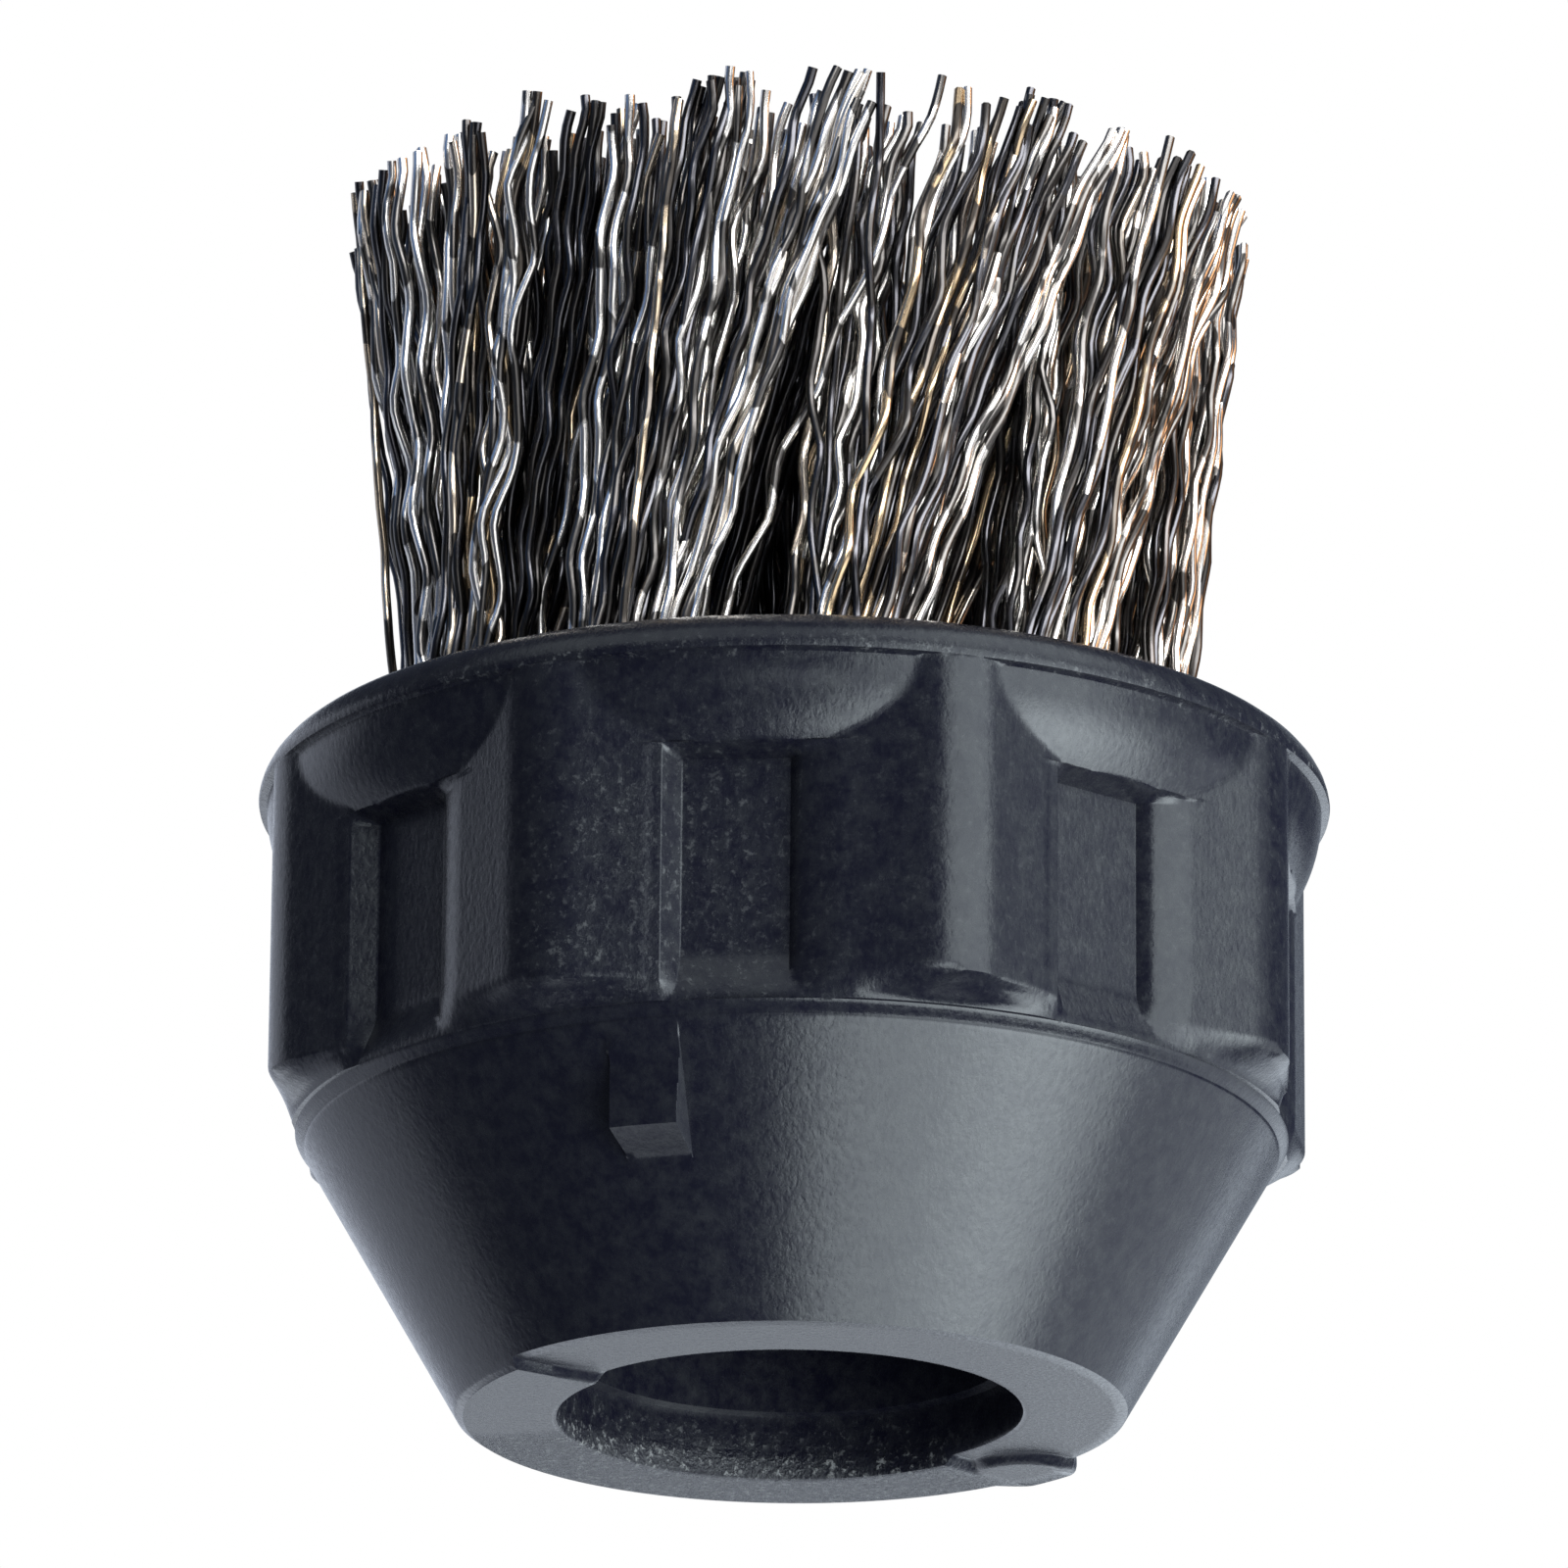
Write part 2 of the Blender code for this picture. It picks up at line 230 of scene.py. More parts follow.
def index_rise(azimuth, z, cone):
    """How far the plain index block stands out of the cone."""
    turn = (azimuth - INDEX_AZIMUTH + math.pi) % (2.0 * math.pi) - math.pi
    across = np.abs(turn) * INDEX_RADIUS
    face = INDEX_FACE + INDEX_LEAN * np.maximum(z - INDEX_BEND_Z, 0.0)
    side = INDEX_SIDE_SLOPE * (INDEX_HALF_WIDTH - across)
    foot = INDEX_FOOT_SLOPE * (z - INDEX_FOOT_Z)
    return np.maximum(np.minimum(face - cone, np.minimum(side, foot)), 0.0)


def pad_distance(azimuth, radius):
    """Distance from the middle of the round pad on the ring face."""
    return np.hypot(radius * np.sin(azimuth) - PAD_X, -radius * np.cos(azimuth) - PAD_Y)


def cone_radius(azimuth, z):
    """The nose, with its rounded foot, its seam, the pad's overhang and the index block."""
    cone = RING_RADIUS + (CONE_TOP_RADIUS - RING_RADIUS) * np.minimum(z / CONE_TOP_Z, 1.0)
    cone = cone - RING_EDGE_ROUND * smooth((RING_EDGE_HEIGHT - z) / RING_EDGE_HEIGHT)
    cone = cone - SEAM_DEPTH * np.exp(-((z - SEAM_GROOVE_Z) / SEAM_GROOVE_WIDTH) ** 2)
    cone = cone + SEAM_DEPTH * np.exp(-((z - SEAM_BEAD_Z) / SEAM_BEAD_WIDTH) ** 2)
    near_pad = smooth((1.75 * MM - pad_distance(azimuth, cone)) / (1.0 * MM))
    cone = cone + PAD_PROUD * near_pad * smooth((0.75 * MM - z) / (0.35 * MM))
    return cone + index_rise(azimuth, z, cone)


def outer_radius(azimuth, offset, z):
    """Outer surface of the hub between the ring face and the underside of the rim."""
    core = core_radius(offset, z)
    proud = np.maximum(flat_radius(offset), core) - core
    grip = np.maximum(core + proud * lug_rise(offset, z), core)
    return np.where(z < CONE_TOP_Z, cone_radius(azimuth, z), grip)


def ring_face_z(azimuth, radius):
    """Height of the ring face: one half of it stands proud, and ends in a round pad."""
    x = radius * np.sin(azimuth)
    y = -radius * np.cos(azimuth)
    beyond_left = x * math.cos(STEP_LEFT) + y * math.sin(STEP_LEFT)
    beyond_right = -x * math.cos(STEP_RIGHT) - y * math.sin(STEP_RIGHT)
    inward = smooth((8.0 * MM - radius) / (1.5 * MM))
    left_ramp = STEP_LEFT_RAMP + STEP_LEFT_SPREAD * inward
    left_step = 1.0 - smooth(beyond_left / left_ramp + STEP_START)
    right_step = 1.0 - smooth(beyond_right / STEP_RIGHT_RAMP + STEP_START)
    pad_step = 1.0 - smooth((pad_distance(azimuth, radius) - PAD_RADIUS) / PAD_RAMP)
    proud_half = np.minimum(left_step, right_step)
    return STEP_HEIGHT * (1.0 - np.maximum(proud_half, pad_step))


# --- mesh of the hub ----------------------------------------------------------------
def socket_rows():
    """(radius, z) of the rows from the socket's roof down towards its mouth."""
    rows = [(radius * MM, SOCKET_DEPTH) for radius in ROOF_RADII]
    rows.append((SOCKET_RADIUS, SOCKET_DEPTH - 0.3 * MM))
    rows += [(SOCKET_RADIUS, z * MM) for z in SOCKET_LEVELS]
    rows.append((SOCKET_RADIUS, SOCKET_ENTRY_DEPTH + 0.05 * MM))
    rows.append((SOCKET_ENTRY_RADIUS, SOCKET_ENTRY_DEPTH))
    rows += [(SOCKET_ENTRY_RADIUS, z * MM) for z in ENTRY_LEVELS]
    return rows


def ring_rows(azimuth):
    """Rows over the edge of the mouth and out across the ring face."""
    edge = ring_face_z(azimuth, SOCKET_ENTRY_RADIUS)
    rows = [(SOCKET_ENTRY_RADIUS, edge + 0.12 * MM)]
    rows.append((SOCKET_ENTRY_RADIUS + 0.04 * MM, edge + 0.03 * MM))
    inner = SOCKET_ENTRY_RADIUS + 0.12 * MM
    outer = RING_RADIUS - RING_EDGE_ROUND
    for radius in np.linspace(inner, outer, RING_ROWS):
        rows.append((radius, ring_face_z(azimuth, radius)))
    return rows


def side_rows(azimuth, offset):
    """Rows up the nose and the grip."""
    bottom = ring_face_z(azimuth, RING_RADIUS)
    levels = [bottom + lift * MM for lift in NOSE_LIFTS]
    for low, high, number in SIDE_LEVELS:
        levels += [np.full(len(azimuth), z * MM) for z in np.linspace(low, high, number)]
    return [(outer_radius(azimuth, offset, z), z) for z in levels]


def rim_rows(last_radius):
    """Rows round the rim and in over the top face, after a row of radius last_radius."""
    under = np.maximum(last_radius, RIM_RADIUS - 0.16 * MM)
    rows = [(under, RIM_UNDER_Z), (RIM_RADIUS - 0.03 * MM, RIM_UNDER_Z + 0.03 * MM)]
    centre = RIM_RADIUS - RIM_ROUND
    for angle in np.radians(RIM_ANGLES):
        radius = centre + RIM_ROUND * math.cos(angle)
        rows.append((radius, RIM_WIDEST_Z + RIM_ROUND * math.sin(angle)))
    return rows + [(radius * MM, TOP_FACE_Z) for radius in TOP_RADII]


def hub_azimuths():
    """Azimuths of the hub's columns and their offsets from the middle of a flat, in radians."""
    even = np.linspace(-HALF_FLAT, HALF_FLAT, EVEN_COLUMNS, endpoint=False)
    at_wall = np.linspace(*LEFT_WALL, LEFT_WALL_COLUMNS)
    flat = np.sort(np.concatenate((even, at_wall)))
    offset = np.tile(flat, LUG_COUNT)
    centres = GROOVE_AZIMUTH + 2.0 * HALF_FLAT * np.arange(LUG_COUNT)
    azimuth = np.repeat(centres, len(flat)) + offset
    for place in INDEX_COLUMNS:
        nearest = np.argmin(np.abs(azimuth - place))
        offset[nearest] += place - azimuth[nearest]
        azimuth[nearest] = place
    return np.radians(azimuth), np.radians(offset)


def hub_mesh():
    """The hub as one closed skin on a polar grid."""
    azimuth, offset = hub_azimuths()
    count = len(azimuth)
    rows = socket_rows() + ring_rows(azimuth) + side_rows(azimuth, offset)
    rows += rim_rows(rows[-1][0])
    points = []
    for radius, z in rows:
        z = np.broadcast_to(z, count)
        points.append(np.stack((radius * np.sin(azimuth), -radius * np.cos(azimuth), z), axis=1))
    points = np.concatenate(points)
    i = np.arange(count)
    j = (i + 1) % count
    quads = []
    for row in range(len(rows) - 1):
        low, high = row * count, (row + 1) * count
        quads.append(np.stack((low + i, low + j, high + j, high + i), axis=1))
    piece = mesh_object("moulded_hub", points, np.concatenate(quads))
    store(piece, "worn", worn_share(points))
    close_ends(piece, count)
    return piece


def close_ends(piece, count):
    """Close the two small rings of a polar grid with one face each."""
    bm = bmesh.new()
    bm.from_mesh(piece.data)
    bm.verts.ensure_lookup_table()
    total = len(bm.verts)
    bm.faces.new([bm.verts[i] for i in reversed(range(count))])
    bm.faces.new([bm.verts[total - count + i] for i in range(count)])
    bmesh.ops.recalc_face_normals(bm, faces=bm.faces)
    bm.to_mesh(piece.data)
    bm.free()
    piece.data.shade_smooth()
    piece.data.set_sharp_from_angle(angle=math.radians(38.0))


# --- wear on the hub ----------------------------------------------------------------
def between(azimuth, start, rise, end, fall):
    """1 between two azimuths in degrees, with a soft rise after the first and fall before the last."""
    return smooth((azimuth - start) / rise) * smooth((end - azimuth) / fall)


def worn_ring(azimuth, radius, z):
    """Wear on the far half of the ring face."""
    on_ring = (z < 0.3 * MM) & (radius > 6.3 * MM) & (radius < 9.2 * MM)
    return np.where(on_ring, 2.6 * between(azimuth, 134.0, 10.0, 262.0, 14.0), 0.0)


def worn_mouth(azimuth, radius, z):
    """Wear inside the mouth of the socket."""
    in_mouth = (radius < 6.45 * MM) & (z < 4.0 * MM)
    mouth = between(azimuth, 110.0, 60.0, 325.0, 30.0)
    near_edge = smooth((2.1 * MM - z) / (1.9 * MM))
    return np.where(in_mouth, 0.9 * mouth * near_edge, 0.0)


def worn_grip(azimuth, radius, z):
    """Wear on the grip, most of it round azimuth -15."""
    on_grip = (radius > 12.5 * MM) & (z > 8.0 * MM) & (z < 17.45 * MM)
    away = np.abs((azimuth + 15.0 + 180.0) % 360.0 - 180.0)
    below_rim = smooth((16.4 * MM - z) / (3.0 * MM))
    rubbed = 0.08 + 0.24 * smooth((20.0 - away) / 14.0) * below_rim
    return np.where(on_grip, rubbed, 0.0)


def worn_rim(radius, z):
    """Wear along the edge under the rim."""
    edge = smooth((0.45 * MM - np.abs(z - 17.65 * MM)) / (0.4 * MM))
    return np.where(radius > 14.3 * MM, 0.45 * edge, 0.0)


def worn_share(points):
    """How scuffed the moulding is at each point: 0 is new, and above 1 is very rough."""
    x, y, z = points.T
    azimuth = np.degrees(np.arctan2(x, -y)) % 360.0
    radius = np.hypot(x, y)
    worn = worn_ring(azimuth, radius, z) + worn_mouth(azimuth, radius, z)
    worn = worn + worn_grip(azimuth, radius, z)
    return worn + worn_rim(radius, z)


# --- materials ----------------------------------------------------------------------
PLASTIC_DEEP = (0.006, 0.006, 0.014)
PLASTIC_PALE = (0.024, 0.025, 0.030)
SCUFF_GREY = (0.26, 0.26, 0.26)
WIRE_STEEL = (0.72, 0.70, 0.67)
WIRE_BRASSY = (0.50, 0.38, 0.24)
# colour of dull wires, also used as painted shade on the wires deep inside the bundles
WIRE_DULL_AND_PAINTED_SHADE = (0.06, 0.06, 0.066)
WIRE_STAIN = (0.055, 0.052, 0.05)


def new_material(name):
    """A Principled material with its tree and shader."""
    material = bpy.data.materials.new(name)
    material.use_nodes = True
    tree = material.node_tree
    return material, tree, tree.nodes["Principled BSDF"]


def link(tree, start, end):
    """Join two sockets."""
    tree.links.new(start, end)


def noise(tree, coordinates, size, detail=3.0, rough=0.55, stretch=(1.0, 1.0, 1.0)):
    """A noise texture whose features are about as large as size."""
    mapping = tree.nodes.new("ShaderNodeMapping")
    mapping.inputs["Scale"].default_value = stretch
    link(tree, coordinates, mapping.inputs["Vector"])
    texture = tree.nodes.new("ShaderNodeTexNoise")
    texture.inputs["Scale"].default_value = 1.0 / size
    texture.inputs["Detail"].default_value = detail
    texture.inputs["Roughness"].default_value = rough
    link(tree, mapping.outputs["Vector"], texture.inputs["Vector"])
    return texture.outputs["Fac"]


def ramp(tree, value, start, end):
    """A grey ramp from a value; start and end are (position, grey level)."""
    node = tree.nodes.new("ShaderNodeValToRGB")
    for element, (position, level) in zip(node.color_ramp.elements, (start, end)):
        element.position = position
        element.color = (level, level, level, 1.0)
    link(tree, value, node.inputs["Fac"])
    return node.outputs["Color"]


def math_node(tree, operation, first, second):
    """A math node of a socket and a second socket or number."""
    node = tree.nodes.new("ShaderNodeMath")
    node.operation = operation
    for socket, value in zip(node.inputs, (first, second)):
        if isinstance(value, (int, float)):
            socket.default_value = value
        else:
            link(tree, value, socket)
    return node.outputs["Value"]


def mix_colour(tree, factor, first, second):
    """Mix two colours, each a tuple or a socket."""
    node = tree.nodes.new("ShaderNodeMix")
    node.data_type = "RGBA"
    link(tree, factor, node.inputs["Factor"])
    for name, value in (("A", first), ("B", second)):
        socket = [s for s in node.inputs if s.name == name and s.type == "RGBA"][0]
        if isinstance(value, tuple):
            socket.default_value = (*value, 1.0)
        else:
            link(tree, value, socket)
    return [s for s in node.outputs if s.type == "RGBA"][0]


def attribute(tree, name):
    """A value stored on the mesh."""
    node = tree.nodes.new("ShaderNodeAttribute")
    node.attribute_name = name
    return node.outputs["Fac"]


def add_bump(tree, shader, height, strength, distance):
    """Roughen a shader's normal by a height."""
    bump = tree.nodes.new("ShaderNodeBump")
    bump.inputs["Strength"].default_value = strength
    bump.inputs["Distance"].default_value = distance
    link(tree, height, bump.inputs["Height"])
    link(tree, bump.outputs["Normal"], shader.inputs["Normal"])


def plastic_material():
    """Black moulded plastic: satin, finely mottled, scuffed where it has been worn."""
    material, tree, shader = new_material("black_moulded_plastic")
    place = tree.nodes.new("ShaderNodeTexCoord").outputs["Object"]
    worn = attribute(tree, "worn")
    blotch = noise(tree, place, 0.6 * MM, detail=6.0, rough=0.75)
    grain = noise(tree, place, 0.16 * MM, detail=3.0, rough=0.6, stretch=(1.0, 1.0, 0.6))
    speck = noise(tree, place, 0.22 * MM, detail=4.0, rough=0.75)
    scuffs = ramp(tree, speck, (0.55, 0.0), (0.66, 1.0))
    patches = ramp(tree, blotch, (0.42, 0.2), (0.6, 1.0))
    scuffs = math_node(tree, "MULTIPLY", math_node(tree, "MULTIPLY", scuffs, worn), patches)
    mottle = ramp(tree, blotch, (0.4, 0.0), (0.7, 1.0))
    colour = mix_colour(tree, mottle, PLASTIC_DEEP, PLASTIC_PALE)
    link(tree, mix_colour(tree, scuffs, colour, SCUFF_GREY), shader.inputs["Base Color"])
    rough = ramp(tree, grain, (0.3, 0.2), (0.7, 0.32))
    rough = math_node(tree, "ADD", rough, math_node(tree, "MULTIPLY", scuffs, 0.45))
    link(tree, rough, shader.inputs["Roughness"])
    shader.inputs["Specular IOR Level"].default_value = 0.62
    height = math_node(tree, "MULTIPLY", math_node(tree, "MULTIPLY", speck, worn), 6.0)
    height = math_node(tree, "ADD", grain, height)
    add_bump(tree, shader, height, strength=0.36, distance=0.03 * MM)
    return material


def wire_material():
    """Crimped wire: bright steel, some of it brassy, dull or stained along its length, with painted
    shade on the wires deep inside the bundles.
    """
    material, tree, shader = new_material("crimped_wire")
    place = tree.nodes.new("ShaderNodeTexCoord").outputs["Object"]
    tint_and_painted_shade = attribute(tree, "tint_and_painted_shade")
    apart = tree.nodes.new("ShaderNodeVectorMath")
    link(tree, place, apart.inputs[0])
    link(tree, tint_and_painted_shade, apart.inputs[1])
    stain = noise(tree, apart.outputs[0], 1.1 * MM, detail=2.0, rough=0.5, stretch=(1.0, 1.0, 0.4))
    brassy = ramp(tree, tint_and_painted_shade, (0.40, 0.0), (0.58, 1.0))
    bright = mix_colour(tree, brassy, WIRE_STEEL, WIRE_BRASSY)
    # dark for dull wires and for wires deep in the bundles, whose tint carries painted shade
    dull_and_painted_shade = ramp(tree, tint_and_painted_shade, (0.60, 0.0), (0.68, 1.0))
    strand = mix_colour(tree, dull_and_painted_shade, bright, WIRE_DULL_AND_PAINTED_SHADE)
    stained = ramp(tree, stain, (0.515, 0.0), (0.535, 0.95))
    link(tree, mix_colour(tree, stained, strand, WIRE_STAIN), shader.inputs["Base Color"])
    shader.inputs["Metallic"].default_value = 1.0
    link(tree, ramp(tree, stain, (0.3, 0.22), (0.8, 0.34)), shader.inputs["Roughness"])
    return material


# --- stage --------------------------------------------------------------------------
WHITE = (1.0, 1.0, 1.0)
COOL = (0.9, 1.0, 1.04)
PALE_BLUE = (0.86, 0.93, 1.0)
SHADE_BLUE = (0.8, 0.86, 1.0)
PANEL_DISTANCE = 0.5
PANEL_CENTRE = Vector((0.0, 0.0, 14.0 * MM))

# name, azimuths, elevations, radiance, colour, and what it lights: None is everything
PANELS = (
    ("key_low", (6.5, 92.0), (-56.0, -13.0), 3.5, COOL, "plastic"),
    ("under", (150.0, 210.0), (-78.0, -42.0), 0.65, PALE_BLUE, "plastic"),
    ("key_core", (42.0, 74.0), (-38.0, -2.0), 2.4, COOL, "plastic"),
    ("key_mid", (-6.0, 90.0), (-13.0, 1.0), 1.3, COOL, "plastic"),
    ("key_high", (14.0, 74.0), (1.0, 32.0), 2.4, COOL, "plastic"),
    ("key_edge", (74.0, 96.0), (1.0, 32.0), 0.45, COOL, "plastic"),
    ("front_high", (25.0, 110.0), (40.0, 76.0), 1.3, COOL, "plastic"),
    ("left_top", (-90.0, 20.0), (40.0, 76.0), 0.5, COOL, "plastic"),
    ("right_low", (92.0, 136.0), (-40.0, -1.0), 0.85, (0.85, 0.93, 1.0), None),
    ("right_edge", (136.0, 176.0), (-40.0, 2.0), 1.1, (0.85, 0.95, 1.05), None),
    ("left_low", (-176.0, -110.0), (-38.0, 0.0), 0.6, SHADE_BLUE, None),
    ("left_high", (-176.0, -110.0), (0.0, 30.0), 0.8, SHADE_BLUE, None),
    ("back_low", (150.0, 210.0), (-36.0, -6.0), 0.75, PALE_BLUE, None),
    ("back_mid", (160.0, 200.0), (0.0, 30.0), 0.4, (0.8, 0.9, 1.0), None),
    ("over_floor", (-90.0, 90.0), (58.0, 86.0), 5.0, WHITE, "ground"),
    ("wire_top", (-60.0, 70.0), (48.0, 76.0), 2.5, WHITE, "wires"),
    ("wire_low", (0.0, 90.0), (-45.0, -14.0), 2.8, WHITE, "wires"),
    ("wire_back", (190.0, 280.0), (-45.0, -14.0), 1.5, (0.95, 0.98, 1.0), "wires"),
    ("wire_key", (-16.0, 80.0), (9.0, 27.0), 13.5, WHITE, "wires"),
    ("wire_fill", (-44.0, -16.0), (6.0, 30.0), 0.5, (0.8, 0.88, 1.0), "wires"),
    ("wire_warm", (82.0, 130.0), (2.0, 34.0), 1.6, (1.0, 0.45, 0.12), "wires"),
    ("wire_cool", (-90.0, -40.0), (2.0, 34.0), 0.35, (0.12, 0.4, 1.0), "wires"),
)


def panel(name, azimuths, elevations, radiance, colour, onto):
    """A soft light panel that fills a range of azimuths and elevations, seen from the hub."""
    azimuth = math.radians(sum(azimuths) / 2.0)
    elevation = math.radians(sum(elevations) / 2.0)
    width = math.radians(azimuths[1] - azimuths[0]) * math.cos(elevation)
    height = math.radians(elevations[1] - elevations[0])
    level = math.cos(elevation)
    back = Vector((math.sin(azimuth) * level, -math.cos(azimuth) * level, math.sin(elevation)))
    light = bpy.data.lights.new(name, "AREA")
    light.shape = "RECTANGLE"
    light.size = 2.0 * PANEL_DISTANCE * math.tan(width / 2.0)
    light.size_y = 2.0 * PANEL_DISTANCE * math.tan(height / 2.0)
    light.energy = radiance * math.pi * light.size * light.size_y
    light.color = colour
    lamp = bpy.data.objects.new(name, light)
    bpy.context.scene.collection.objects.link(lamp)
    lamp.location = PANEL_CENTRE + back * PANEL_DISTANCE
    lamp.rotation_mode = "QUATERNION"
    lamp.rotation_quaternion = back.to_track_quat("Z", "Y")
    lamp.visible_camera = False
    if onto is not None:
        lamp.light_linking.receiver_collection = onto


def background(tree, colour, strength):
    """A background shader of one colour."""
    node = tree.nodes.new("ShaderNodeBackground")
    node.inputs["Color"].default_value = (*colour, 1.0)
    node.inputs["Strength"].default_value = strength
    return node.outputs["Background"]


def studio(groups):
    """White backdrop, dim bluish surroundings and soft panels."""
    scene = bpy.context.scene
    scene.view_settings.view_transform = "Standard"
    world = bpy.data.worlds.new("studio")
    scene.world = world
    world.use_nodes = True
    tree = world.node_tree
    tree.nodes.clear()
    output = tree.nodes.new("ShaderNodeOutputWorld")
    mix = tree.nodes.new("ShaderNodeMixShader")
    path = tree.nodes.new("ShaderNodeLightPath")
    link(tree, path.outputs["Is Camera Ray"], mix.inputs["Fac"])
    link(tree, background(tree, (0.62, 0.72, 1.0), 0.1), mix.inputs[1])
    link(tree, background(tree, WHITE, 1.0), mix.inputs[2])
    link(tree, mix.outputs["Shader"], output.inputs["Surface"])
    for name, azimuths, elevations, radiance, colour, group in PANELS:
        panel(name, azimuths, elevations, radiance, colour, groups.get(group))


def floor_material():
    """Pale and matt from above, clear from below."""
    material, tree, shader = new_material("pale_floor")
    shader.inputs["Base Color"].default_value = (0.82, 0.82, 0.83, 1.0)
    shader.inputs["Roughness"].default_value = 0.9
    shader.inputs["Emission Color"].default_value = (0.82, 0.82, 0.83, 1.0)
    shader.inputs["Emission Strength"].default_value = 0.4
    clear = tree.nodes.new("ShaderNodeBsdfTransparent")
    mix = tree.nodes.new("ShaderNodeMixShader")
    side = tree.nodes.new("ShaderNodeNewGeometry")
    link(tree, side.outputs["Backfacing"], mix.inputs["Fac"])
    link(tree, shader.outputs["BSDF"], mix.inputs[1])
    link(tree, clear.outputs["BSDF"], mix.inputs[2])
    link(tree, mix.outputs["Shader"], tree.nodes["Material Output"].inputs["Surface"])
    return material


def floor(ground):
    """A pale floor just under the ring face."""
    size = 0.6
    corners = ((-size, -size, 0.0), (size, -size, 0.0), (size, size, 0.0), (-size, size, 0.0))
    face = np.array([[0, 1, 2, 3]])
    plane = mesh_object("studio_floor", np.array(corners), face, smooth_faces=False)
    plane.data.materials.append(floor_material())
    plane.location.z = -0.02 * MM
    plane.visible_shadow = False
    plane.visible_diffuse = False
    plane.visible_glossy = False
    ground.objects.link(plane)


def camera():
    """A long lens in front of the brush and a little below it."""
    elevation, roll = math.radians(17.96), math.radians(0.45)
    distance = 0.34146
    target = Vector((-0.293 * MM, 0.0, 18.45 * MM))
    forward = Vector((0.0, math.cos(elevation), math.sin(elevation)))
    right = Vector((1.0, 0.0, 0.0))
    up = right.cross(forward)
    across = right * math.cos(roll) + up * math.sin(roll)
    above = up * math.cos(roll) - right * math.sin(roll)
    data = bpy.data.cameras.new("camera")
    data.sensor_width = 36.0
    data.lens = 279.7
    data.clip_start = 0.01
    data.clip_end = 20.0
    view = bpy.data.objects.new("camera", data)
    bpy.context.scene.collection.objects.link(view)
    turn = Matrix((across, above, -forward)).transposed().to_4x4()
    view.matrix_world = Matrix.Translation(target - forward * distance) @ turn
    bpy.context.scene.camera = view


# --- wires --------------------------------------------------------------------------
OUTER_RING = 7.0 * MM
# strands, lone wires and steps along each wire
OUTER_BUNDLE = (15, 10, 44)
INNER_BUNDLE = (10, 4, 26)
WIRES_PER_STRAND = (3, 6)
ROOT_SINK = 0.5 * MM
ROOT_SPREAD = 1.6 * MM
TIP_SPREAD = 3.5 * MM
STRAND_ROOT = 0.36 * MM
STRAND_TIP = 0.62 * MM
TIP_SCATTER = 0.22 * MM
TIP_LIMIT = 12.75 * MM
SPLAY = 1.06
LEAN = 4.0 * MM
WIRE_RADII = (0.12, 0.145)
WIRE_SIDES = 6
END_QUADS = ((0, 1, 2, 3), (0, 3, 4, 5))
# painted shade: wires whose middle lies inside this radius get a darker, duller tint, as if shaded
# deep in the bundle
PAINTED_SHADE_RADIUS, PAINTED_SHADE_WIDTH = 8.8 * MM, 2.5 * MM
FIRST_SEED = 2000

# share of the crimp, shortest and longest wave in millimetres, and drift between wires
CRIMP_WAVES = ((1.0, 3.5, 4.6, 0.2), (0.45, 2.0, 3.0, 1.0), (0.6, 7.0, 11.0, 0.6))


def tuft_root(name):
    """Centre of a bundle where it leaves the hub, from its solid in the frame."""
    points = np.array([v.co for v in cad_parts[name].data.vertices])
    low = points[points[:, 2] < TOP_FACE_Z + 0.1 * MM]
    return ((low.min(axis=0) + low.max(axis=0)) / 2.0)[:2]


def disc_scatter(rng, count):
    """Evenly scattered points in a unit disc."""
    golden = math.pi * (3.0 - math.sqrt(5.0))
    index = np.arange(count) + 0.5
    radius = np.sqrt(index / count)
    angle = index * golden + rng.uniform(0.0, 2.0 * math.pi)
    points = np.stack((radius * np.cos(angle), radius * np.sin(angle)), axis=1)
    return points + rng.normal(0.0, 0.22 / math.sqrt(count), (count, 2))


def lay_strand(rng, root_centre, offset, count, steps, lean):
    """Centre lines of one strand: wires that lie side by side from the hub to their tips."""
    spread = disc_scatter(rng, count)
    root = root_centre + offset * ROOT_SPREAD + spread * STRAND_ROOT
    tip = root_centre * SPLAY + offset * TIP_SPREAD + spread * STRAND_TIP + lean
    tip = tip + rng.normal(0.0, TIP_SCATTER, (count, 2))
    reach = np.linalg.norm(tip, axis=1)
    tip = tip * np.minimum(1.0, TIP_LIMIT / np.maximum(reach, 1e-6))[:, None]
    tip_z = TIP_Z - np.abs(rng.normal(0.0, 0.45 * MM, count)) - rng.uniform(0.1, 0.6) * MM
    root_z = TOP_FACE_Z - ROOT_SINK
    t = np.linspace(0.0, 1.0, steps)
    z = root_z + (tip_z[:, None] - root_z) * t
    xy = root[:, None, :] + (tip - root)[:, None, :] * (t ** 1.05)[None, :, None]
    return xy, z, t


def crimp(rng, z, t):
    """Sideways zigzag along the wires of one strand, with rounded bends."""
    count = len(z)
    sway = np.zeros((count, len(t), 2))
    for share, low, high, drift in CRIMP_WAVES:
        wave = rng.uniform(low, high) * MM * rng.uniform(0.985, 1.015, count)
        phase = rng.uniform(0.0, 2.0 * math.pi) + rng.normal(0.0, drift, count)
        size = share * rng.uniform(0.08, 0.16) * MM * rng.uniform(0.8, 1.2, count)
        heading = rng.uniform(0.0, math.pi) + rng.normal(0.0, 0.2, count)
        swing = np.sin(2.0 * math.pi * z / wave[:, None] + phase[:, None])
        swing = np.arcsin(0.94 * swing)
        across = np.stack((np.cos(heading), np.sin(heading)), axis=1) * size[:, None]
        sway += swing[:, :, None] * across[:, None, :]
    return sway * np.clip(t * 6.0, 0.0, 1.0)[None, :, None]


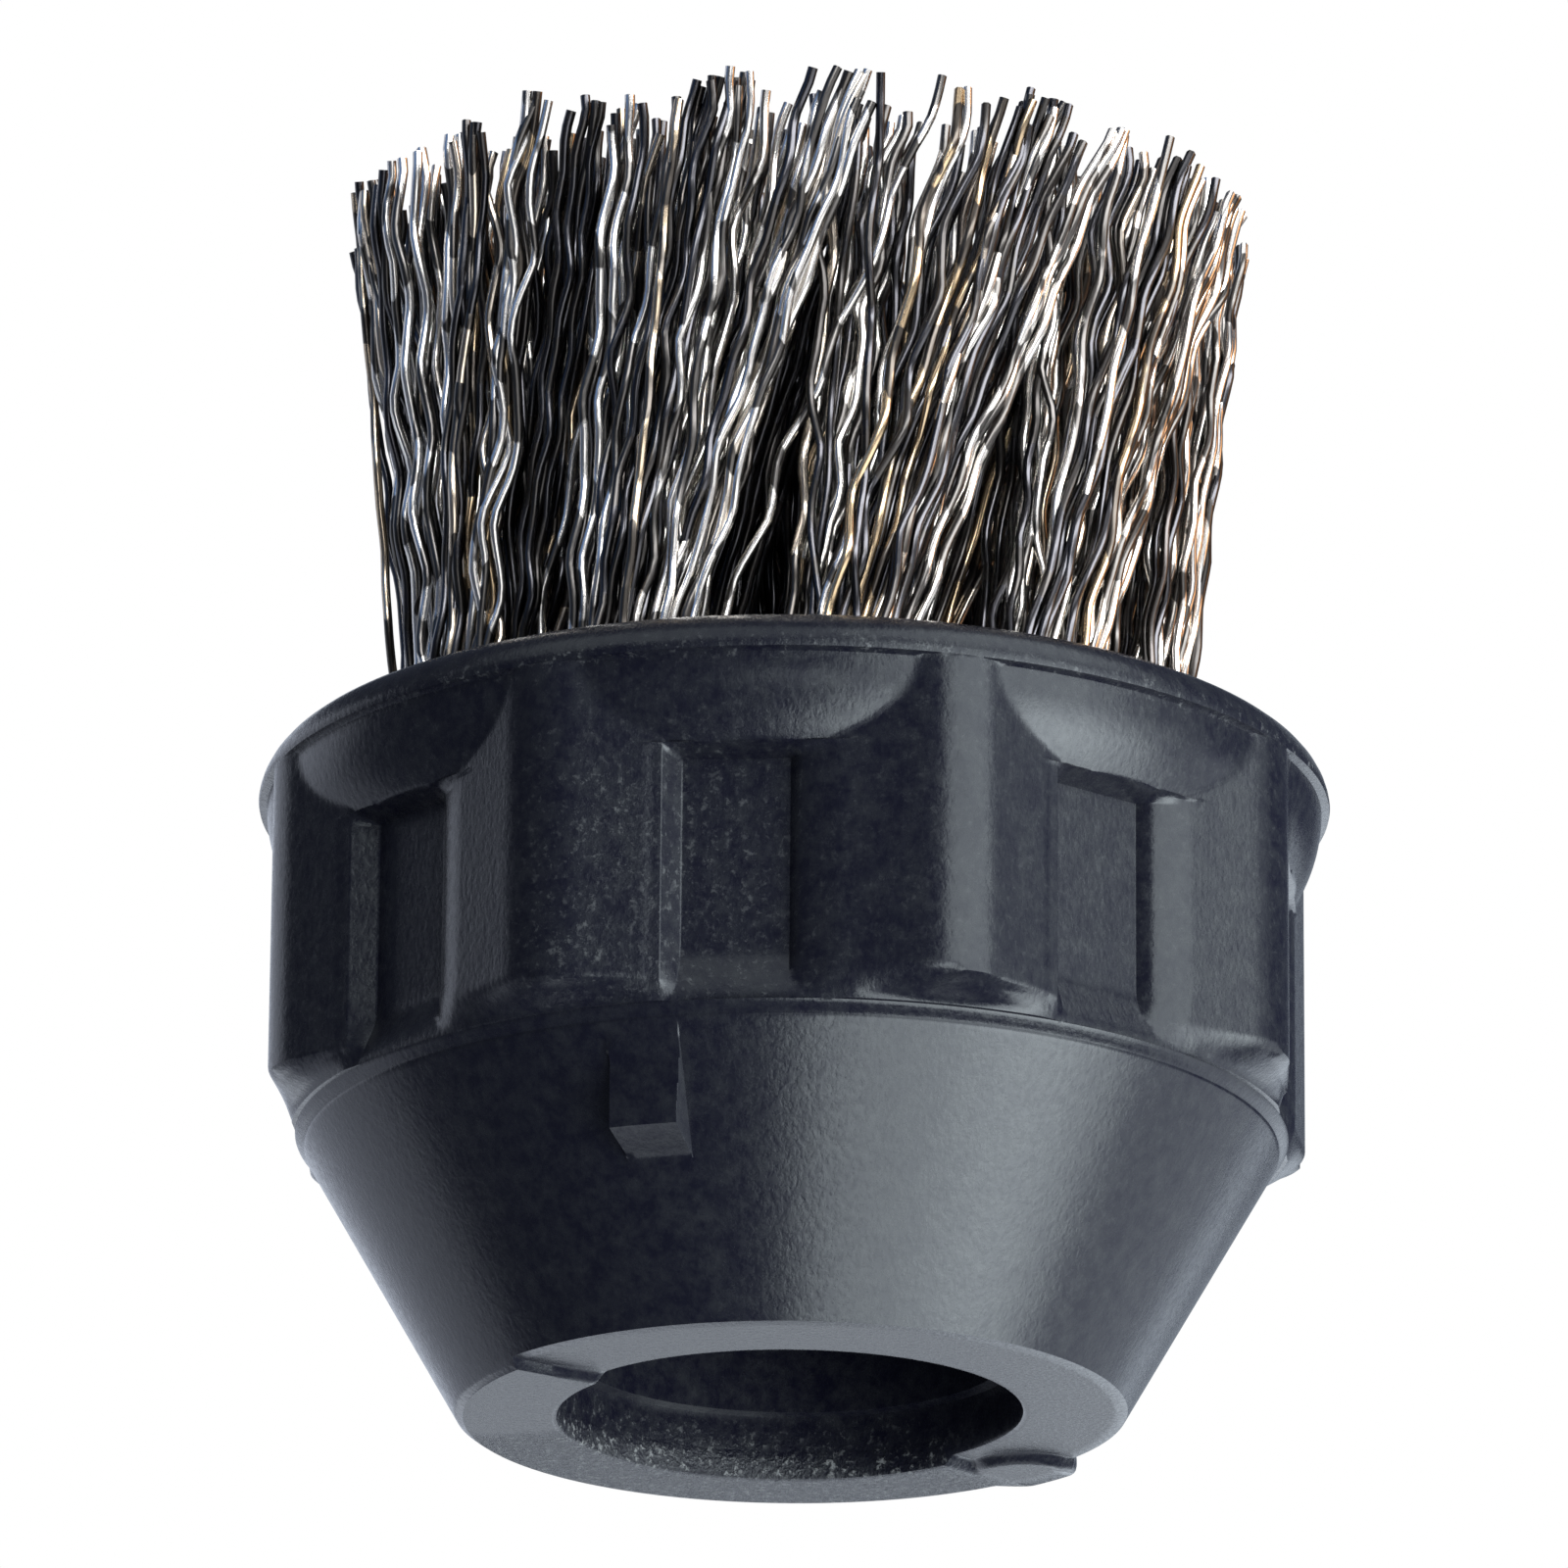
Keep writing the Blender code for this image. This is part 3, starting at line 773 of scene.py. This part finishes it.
def bundle(rng, root_centre, strands, strays, steps):
    """Centre lines of every wire of one bundle (wire, step, xyz), and the tint of each, which also
    carries painted shade for the wires near the middle.
    """
    out = np.linalg.norm(root_centre)
    radial = root_centre / out if out > MM else np.zeros(2)
    swirl = np.array((-radial[1], radial[0]))
    offsets = disc_scatter(rng, strands + strays)
    offsets = offsets[rng.permutation(strands + strays)]
    parts = []
    tints_and_painted_shade = []
    for place, offset in enumerate(offsets):
        stray = place >= strands
        count = 1 if stray else int(rng.integers(*WIRES_PER_STRAND))
        around = LEAN + rng.normal(0.0, 1.8 if stray else 1.0) * MM
        outward = rng.normal(0.0, 0.4)
        lean = swirl * around + radial * outward * MM
        xy, z, t = lay_strand(rng, root_centre, offset, count, steps, lean)
        xy = xy + crimp(rng, z, t)
        parts.append(np.concatenate((xy, z[:, :, None]), axis=2))
        # painted shade: the nearer a wire lies to the bundle's axis, the further its tint is pushed
        # towards dull
        middle = np.linalg.norm(xy[:, steps // 2], axis=1)
        painted_shade = np.clip((PAINTED_SHADE_RADIUS - middle) / PAINTED_SHADE_WIDTH, 0.0, 1.0)
        shade = rng.uniform(0.0, 1.0)
        tints_and_painted_shade.append(np.clip(shade + rng.normal(0.0, 0.42, count) + 0.8 * painted_shade, 0.0, 1.0))
    return np.concatenate(parts), np.concatenate(tints_and_painted_shade)


def tubes(name, paths, radii, tints_and_painted_shade):
    """One mesh of capped tubes along centre lines."""
    count, steps, _ = paths.shape
    ahead = np.gradient(paths, axis=1)
    ahead /= np.linalg.norm(ahead, axis=2, keepdims=True)
    first = np.cross(ahead, np.array((0.0, 1.0, 0.0)))
    first /= np.linalg.norm(first, axis=2, keepdims=True)
    second = np.cross(ahead, first)
    angle = 2.0 * math.pi * np.arange(WIRE_SIDES) / WIRE_SIDES
    ring = (first[:, :, None, :] * np.cos(angle)[None, None, :, None]
            + second[:, :, None, :] * np.sin(angle)[None, None, :, None])
    points = paths[:, :, None, :] + ring * radii[:, None, None, None]
    start = np.arange(count)[:, None, None] * steps * WIRE_SIDES
    step = np.arange(steps - 1)[None, :, None] * WIRE_SIDES
    k = np.arange(WIRE_SIDES)[None, None, :]
    k_next = (k + 1) % WIRE_SIDES
    low, high = start + step, start + step + WIRE_SIDES
    quads = np.stack((low + k, low + k_next, high + k_next, high + k), axis=3).reshape(-1, 4)
    last = start[:, 0, :] + (steps - 1) * WIRE_SIDES
    caps = np.concatenate([last + np.array(corners) for corners in END_QUADS])
    piece = mesh_object(name, points.reshape(-1, 3), np.concatenate((quads, caps)))
    # the stored tint holds each wire's random tone plus the painted shade of wires deep in the bundles
    store(piece, "tint_and_painted_shade", np.repeat(tints_and_painted_shade, steps * WIRE_SIDES))
    piece.data.set_sharp_from_angle(angle=math.radians(62.0))
    return piece


def build_tufts(material, wires):
    """Every bundle of wires."""
    for number, name in enumerate(TUFTS):
        rng = np.random.default_rng(FIRST_SEED + number)
        root_centre = tuft_root(name)
        outer = np.linalg.norm(root_centre) > OUTER_RING
        strands, strays, steps = OUTER_BUNDLE if outer else INNER_BUNDLE
        paths, tints_and_painted_shade = bundle(rng, root_centre, strands, strays, steps)
        radii = rng.uniform(*WIRE_RADII, len(paths)) * MM
        piece = tubes("wires_" + name[-2:], paths, radii, tints_and_painted_shade)
        piece.data.materials.append(material)
        wires.objects.link(piece)
        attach(piece, "root")
        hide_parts(name)


# --- making -------------------------------------------------------------------------
camera()
groups = {name: bpy.data.collections.new(name) for name in ("plastic", "wires", "ground")}
studio(groups)
floor(groups["ground"])
hub = hub_mesh()
groups["plastic"].objects.link(hub)
hub.data.materials.append(plastic_material())
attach(hub, "root")
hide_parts("hub_body")
build_tufts(wire_material(), groups["wires"])
